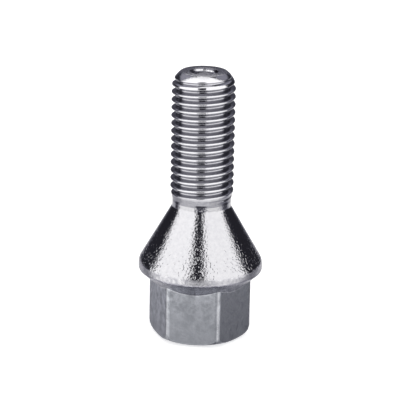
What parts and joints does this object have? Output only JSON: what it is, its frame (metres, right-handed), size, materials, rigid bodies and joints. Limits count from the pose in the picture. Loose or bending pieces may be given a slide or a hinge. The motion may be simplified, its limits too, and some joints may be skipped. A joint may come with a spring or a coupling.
{
  "type": "wheel bolt",
  "caption": "Wheel bolt with a rolled metric thread, a plain neck, a conical seat with a collar, and a hexagon head, standing on its head.",
  "frame": {"origin": "centre of the head's flat end, on the surface that the bolt stands on", "axes": "+Z along the bolt's axis from the head towards the thread's tip, Y square to a pair of the hexagon's flats"},
  "size_m": [0.0234, 0.0234, 0.0513],
  "materials": {
    "zinc_plate": "forged and rolled steel, bright zinc plated"
  },
  "bodies": {
    "root": {"wheel_bolt": "zinc_plate"}
  },
  "joints": []
}
